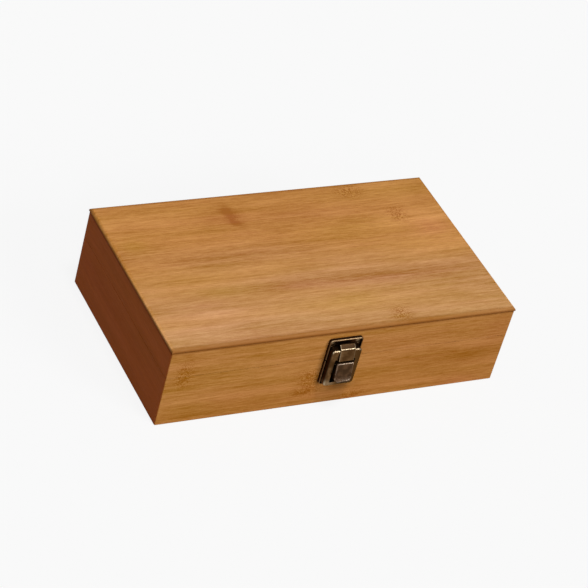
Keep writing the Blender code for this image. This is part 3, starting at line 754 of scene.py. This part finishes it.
def finished(name, shape, material):
    """A piece with smooth shading that keeps its flat faces flat."""
    mesh = bpy.data.meshes.new(name)
    shape.to_mesh(mesh)
    shape.free()
    mesh.materials.append(material)
    mesh.shade_smooth()
    mesh.set_sharp_from_angle(angle=SHARP_ANGLE)
    piece = in_scene(name, mesh)
    normals = piece.modifiers.new("flat faces", "WEIGHTED_NORMAL")
    normals.keep_sharp = True
    return piece


def dressed(node, body, shape, material):
    """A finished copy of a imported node, which it stands for."""
    piece = finished(node + "_finished", shape, material)
    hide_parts(node)
    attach(piece, body)


def outer_edges(height):
    """Picks the edges that run round the outside of the box at a height."""
    outer_along = cad_high.x - OUTER_BAND

    def outside(place):
        return abs(place.x) > outer_along or abs(place.y) > OUTER_ACROSS

    def picked(edge):
        places = [vertex.co for vertex in edge.verts]
        return all(abs(place.z - height) < NEAR and outside(place) for place in places)

    return picked


def boards():
    """The eight wall boards and the two panels.

    The grain of a wall goes on from the base to the lid, as if both were cut from one board.
    """
    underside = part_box("lid_front_board")[1].z
    for body, height in (("base", 0.0), ("lid", underside)):
        walls = (
            ("front", "xzy", FRONT_WOOD),
            ("back", "xzy", FRONT_WOOD),
            ("left", "yzx", END_WOOD),
            ("right", "yzx", END_WOOD),
        )
        for index, (side, order, wood) in enumerate(walls):
            if side == "back":
                wood = {**wood, "patches": (), "marks": (), "painted_shadows": ()}
            node = f"{body}_{side}_board"
            shape = merged(node)
            ease(shape, BOARD_EASE, outer_edges(height))
            material = bamboo(node + "_bamboo", order, index * BOARD_STEP, wood)
            dressed(node, body, shape, material)
    top = merged("lid_top_panel")
    ease(top, PANEL_EASE, outer_edges(underside))
    varnished = bamboo("top_bamboo", "xyz", TOP_SHIFT, TOP_WOOD)
    dressed("lid_top_panel", "lid", top, varnished)
    inner = {**TOP_WOOD, "patches": (), "marks": (), "coat": 0.0, "rim": 0.0}
    bottom = bamboo("bottom_bamboo", "xyz", BOTTOM_SHIFT, inner)
    dressed("base_bottom_panel", "base", merged("base_bottom_panel"), bottom)


def metal_pieces():
    """The latch and the hinges, without their screws."""
    bronze = antique_metal(
        "antique_bronze",
        brown=(0.128, 0.060, 0.023),
        dark=(0.070, 0.031, 0.012),
        bright=BRIGHT_BRASS,
        worn=0.75,
        mottle=0.0032,
        roughness=0.26,
    )
    link_bronze = antique_metal(
        "link_bronze",
        brown=(0.162, 0.086, 0.036),
        dark=(0.070, 0.032, 0.011),
        bright=(0.540, 0.440, 0.290),
        worn=0.75,
        mottle=0.0060,
        roughness=0.26,
        # A painted shade on the right side of the ring
        shade_along_x=(-0.0050, 0.0085, 1.0),
        # Painted highlights at the ring's lower left corner
        highlight_spots=((-0.0113, 0.0214, 0.0007, 0.0024, 0.45), (-0.0088, 0.0218, 0.0026, 0.0024, 0.20)),
    )
    lever_bronze = antique_metal(
        "lever_bronze",
        brown=(0.090, 0.047, 0.024),
        dark=(0.048, 0.025, 0.013),
        bright=(0.540, 0.430, 0.330),
        worn=0.70,
        mottle=0.0040,
        roughness=0.36,
        # A painted shade at the lever's tip that keeps it from showing bright
        highlight_spots=((-0.0013, 0.0258, 0.0100, 0.0028, -0.65),),
    )
    steel = antique_metal(
        "pin_steel",
        brown=(0.24, 0.19, 0.13),
        dark=(0.16, 0.12, 0.08),
        bright=(0.45, 0.38, 0.28),
        worn=0.7,
        mottle=0.0020,
        roughness=0.30,
    )
    for node, body, material, width, deep, rub_and_highlight in (
        ("catch_plate", "lid", bronze, PLATE_EASE, CATCH_DEPTH, PLATE_RUB_AND_HIGHLIGHT),
        ("latch_base_plate", "base", bronze, PLATE_EASE, PIECE_DEPTH, PLATE_RUB_AND_HIGHLIGHT),
        ("latch_link", "link", link_bronze, LINK_EASE, LINK_DEPTH, LINK_RUB_AND_HIGHLIGHT),
        ("latch_lever", "lever", lever_bronze, LEVER_EASE, PIECE_DEPTH, LEVER_RUB_AND_HIGHLIGHT),
        ("hinge_left_base_leaf", "base", bronze, LEAF_EASE, PIECE_DEPTH, LEAF_RUB_AND_HIGHLIGHT),
        ("hinge_left_lid_leaf", "lid", bronze, LEAF_EASE, PIECE_DEPTH, LEAF_RUB_AND_HIGHLIGHT),
        ("hinge_right_base_leaf", "base", bronze, LEAF_EASE, PIECE_DEPTH, LEAF_RUB_AND_HIGHLIGHT),
        ("hinge_right_lid_leaf", "lid", bronze, LEAF_EASE, PIECE_DEPTH, LEAF_RUB_AND_HIGHLIGHT),
    ):
        shape = merged(node)
        weathered(shape, width, deep, rub_and_highlight)
        dressed(node, body, shape, material)
    for node, body in (
        ("lever_pin", "base"),
        ("link_pin", "lever"),
        ("hinge_left_pin", "base"),
        ("hinge_right_pin", "base"),
    ):
        shape = merged(node)
        slimmed(shape, PIN_SHARE)
        ease(shape, PIN_EASE, lambda edge: True)
        dressed(node, body, shape, steel)


# Screws
def moved(tree, shape, place):
    """A shape moved by a vector."""
    return tree.add("GeometryNodeTransform", {}, {"Geometry": shape, "Translation": place})


def screw_head(tree, given):
    """A disc with a domed top, whose upper rim lies at the origin's height."""
    disc = tree.add(
        "GeometryNodeMeshCylinder",
        {"fill_type": "NGON"},
        {
            "Vertices": SCREW_SIDES,
            "Side Segments": 1,
            "Fill Segments": SCREW_RINGS,
            "Radius": given["Head Radius"],
            "Depth": given["Sink"],
        },
        output="Mesh",
    )
    x, y, z = tree.parts(tree.add("GeometryNodeInputPosition", {}, {}))
    radius = tree.add(
        "ShaderNodeVectorMath", {"operation": "LENGTH"}, {0: tree.vector(x, y)}, output="Value"
    )
    share = radius / given["Head Radius"]
    rise = (1.0 - share * share) * given["Dome"]
    lift = tree.vector(z=rise * z.above(0.0))
    domed = tree.add("GeometryNodeSetPosition", {}, {"Geometry": disc, "Offset": lift})
    return moved(tree, domed, tree.vector(z=given["Sink"] * -0.5))


def screw_shank(tree, given):
    """A shank that hangs below the origin and comes to a blunt point."""
    cone = tree.add(
        "GeometryNodeMeshCone",
        {"fill_type": "NGON"},
        {
            "Vertices": SCREW_SIDES // 2,
            "Radius Top": given["Shank Radius"],
            "Radius Bottom": given["Recess Width"],
            "Depth": given["Shank Length"],
        },
        output="Mesh",
    )
    return moved(tree, cone, tree.vector(z=-given["Shank Length"]))


def recess_bars(tree, given):
    """The two crossed bars that are cut out of a head."""
    height = given["Recess Depth"] * 2.0
    bars = []
    for x, y in (("Recess Length", "Recess Width"), ("Recess Width", "Recess Length")):
        size = tree.vector(given[x], given[y], height)
        bar = tree.add("GeometryNodeMeshCube", {}, {"Size": size}, output="Mesh")
        bars.append(moved(tree, bar, tree.vector(z=given["Dome"])))
    return bars


def screw_tree():
    """Geometry nodes that put a cross-recessed screw at each point, facing along its facing."""
    group = bpy.data.node_groups.new("screws", "GeometryNodeTree")
    for name, kind in SCREW_SOCKETS.items():
        group.interface.new_socket(name, in_out="INPUT", socket_type=kind)
    group.interface.new_socket("Screws", in_out="OUTPUT", socket_type="NodeSocketGeometry")
    tree = Tree(group)
    sockets = tree.nodes.new("NodeGroupInput").outputs
    given = {socket.name: Value(tree, socket) for socket in sockets}

    whole = tree.add(
        "GeometryNodeMeshBoolean",
        {"operation": "UNION", "solver": "EXACT"},
        {"Mesh 2": [screw_head(tree, given), screw_shank(tree, given)]},
        output="Mesh",
    )
    screw = tree.add(
        "GeometryNodeMeshBoolean",
        {"operation": "DIFFERENCE", "solver": "EXACT"},
        {"Mesh 1": whole, "Mesh 2": recess_bars(tree, given)},
        output="Mesh",
    )
    facing = tree.add(
        "GeometryNodeInputNamedAttribute",
        {"data_type": "FLOAT_VECTOR"},
        {"Name": "facing"},
        output="Attribute",
    )
    outwards = tree.add("FunctionNodeAlignRotationToVector", {"axis": "Z"}, {"Vector": facing})
    placed = tree.add(
        "GeometryNodeInstanceOnPoints",
        {},
        {"Points": given["Places"], "Instance": screw, "Rotation": outwards},
    )
    angle = tree.add(
        "FunctionNodeRandomValue",
        {"data_type": "FLOAT"},
        {2: 0.0, 3: SCREW_TURN, "Seed": given["Seed"]},
        output=1,
    )
    turned = tree.add(
        "GeometryNodeRotateInstances",
        {},
        {"Instances": placed, "Rotation": tree.vector(z=angle), "Local Space": True},
    )
    real = tree.add("GeometryNodeRealizeInstances", {}, {"Geometry": turned})
    coated = tree.add(
        "GeometryNodeSetMaterial", {}, {"Geometry": real, "Material": given["Finish"]}
    )
    tree.link(coated, tree.nodes.new("NodeGroupOutput").inputs["Screws"])
    return group


def screws(group, body, nodes, material):
    """All the screws of one body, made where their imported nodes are."""
    places, facings = [], []
    for node in nodes:
        low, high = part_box(node)
        middle = (low + high) / 2
        outwards = -1.0 if middle.y < 0 else 1.0
        face = low.y + SCREW_DOME if outwards < 0 else high.y - SCREW_DOME
        places.append((middle.x, face, middle.z))
        facings.append((0.0, outwards, 0.0))
    low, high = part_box(nodes[0])
    head_radius = (high.x - low.x) / 2
    points = bpy.data.meshes.new(body + "_screw_places")
    points.from_pydata(places, [], [])
    facing = points.attributes.new("facing", "FLOAT_VECTOR", "POINT")
    facing.data.foreach_set("vector", [value for vector in facings for value in vector])
    maker = in_scene(body + "_screw_maker", points)
    modifier = maker.modifiers.new("screws", "NODES")
    modifier.node_group = group
    sizes = {
        "Head Radius": head_radius,
        "Dome": SCREW_DOME,
        "Sink": SCREW_SINK,
        "Shank Radius": head_radius * SCREW_SHANK_SHARE,
        "Shank Length": high.y - low.y - SCREW_DOME,
        "Recess Length": RECESS_LENGTH,
        "Recess Width": RECESS_WIDTH,
        "Recess Depth": RECESS_DEPTH,
        "Seed": SCREW_SEED,
        "Finish": material,
    }
    for item in group.interface.items_tree:
        if item.in_out == "INPUT" and item.name in sizes:
            modifier[item.identifier] = sizes[item.name]
    bpy.context.view_layer.update()
    evaluated = maker.evaluated_get(bpy.context.evaluated_depsgraph_get())
    mesh = bpy.data.meshes.new_from_object(evaluated)
    bpy.data.objects.remove(maker, do_unlink=True)
    mesh.shade_smooth()
    mesh.set_sharp_from_angle(angle=SHARP_ANGLE)
    piece = in_scene(body + "_screws", mesh)
    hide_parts(*nodes)
    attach(piece, body)


def all_screws():
    """The screws of the base and those of the lid."""
    finish = antique_metal(
        "screw_bronze",
        brown=(0.210, 0.140, 0.078),
        dark=(0.090, 0.058, 0.032),
        bright=BRIGHT_BRASS,
        worn=0.0,
        mottle=0.0012,
        roughness=0.26,
    )
    group = screw_tree()
    bodies = frame["record"]["behaviour"]["bodies"]
    for body in ("base", "lid"):
        nodes = [node for node in bodies[body] if "screw" in node]
        screws(group, body, nodes, finish)


# Floor, light and camera
def seen_directly(tree):
    """1 for what the camera sees, also in a reflection or through glass, and 0 for diffuse light."""
    seen, reflected, through = [
        tree.add("ShaderNodeLightPath", {}, {}, output=name)
        for name in ("Is Camera Ray", "Is Glossy Ray", "Is Transmission Ray")
    ]
    return seen.most(reflected).most(through)


def grey(share):
    return (share, share, share, 1.0)


def floor():
    """A pale floor that keeps a soft shadow, and throws little light back."""
    shape = bmesh.new()
    bmesh.ops.create_grid(shape, x_segments=1, y_segments=1, size=FLOOR_HALF)
    bmesh.ops.translate(shape, verts=shape.verts, vec=(0, 0, -FLOOR_DROP))
    mesh = bpy.data.meshes.new("floor")
    shape.to_mesh(mesh)
    shape.free()
    material = bpy.data.materials.new("pale_floor")
    material.use_nodes = True
    tree = Tree(material.node_tree)
    tree.nodes.remove(tree.nodes["Principled BSDF"])
    glow = tree.add("ShaderNodeEmission", {}, {"Color": grey(FLOOR_GLOW)})
    pale = tree.add("ShaderNodeBsdfDiffuse", {}, {"Color": grey(FLOOR_PALE)})
    dull = tree.add("ShaderNodeBsdfDiffuse", {}, {"Color": grey(FLOOR_DULL)})
    shown = tree.add("ShaderNodeAddShader", {}, {0: glow, 1: pale})
    surface = tree.add("ShaderNodeMixShader", {}, {0: seen_directly(tree), 1: dull, 2: shown})
    tree.link(surface, tree.nodes["Material Output"].inputs["Surface"])
    mesh.materials.append(material)
    in_scene("floor", mesh)


def sky():
    """Even light from all round, behind which the background shows pale."""
    world = bpy.data.worlds.new("studio")
    world.use_nodes = True
    tree = Tree(world.node_tree)
    strength = tree.add(
        "ShaderNodeMapRange",
        {},
        {"Value": seen_directly(tree), "To Min": SKY_STRENGTH, "To Max": BACKGROUND},
        output="Result",
    )
    light = tree.nodes["Background"]
    light.inputs["Color"].default_value = grey(1.0)
    tree.link(strength, light.inputs["Strength"])
    bpy.context.scene.world = world


def lamps():
    """Suns, each of which shines from its own direction."""
    for name, (direction, strength, width) in LAMPS.items():
        sun = bpy.data.lights.new(name, "SUN")
        sun.energy = strength
        sun.angle = width
        lamp = in_scene(name, sun)
        lamp.rotation_euler = Vector(direction).to_track_quat("Z", "Y").to_euler()


def camera():
    """The camera that the photograph was taken from."""
    data = bpy.data.cameras.new("camera")
    data.lens = CAMERA_LENS
    data.sensor_width = CAMERA_SENSOR
    data.clip_end = CAMERA_REACH
    piece = in_scene("camera", data)
    piece.location = CAMERA_PLACE
    piece.rotation_euler = CAMERA_TURN
    bpy.context.scene.camera = piece


camera()
sky()
lamps()
floor()
boards()
metal_pieces()
all_screws()
bpy.context.scene.view_settings.view_transform = "Standard"
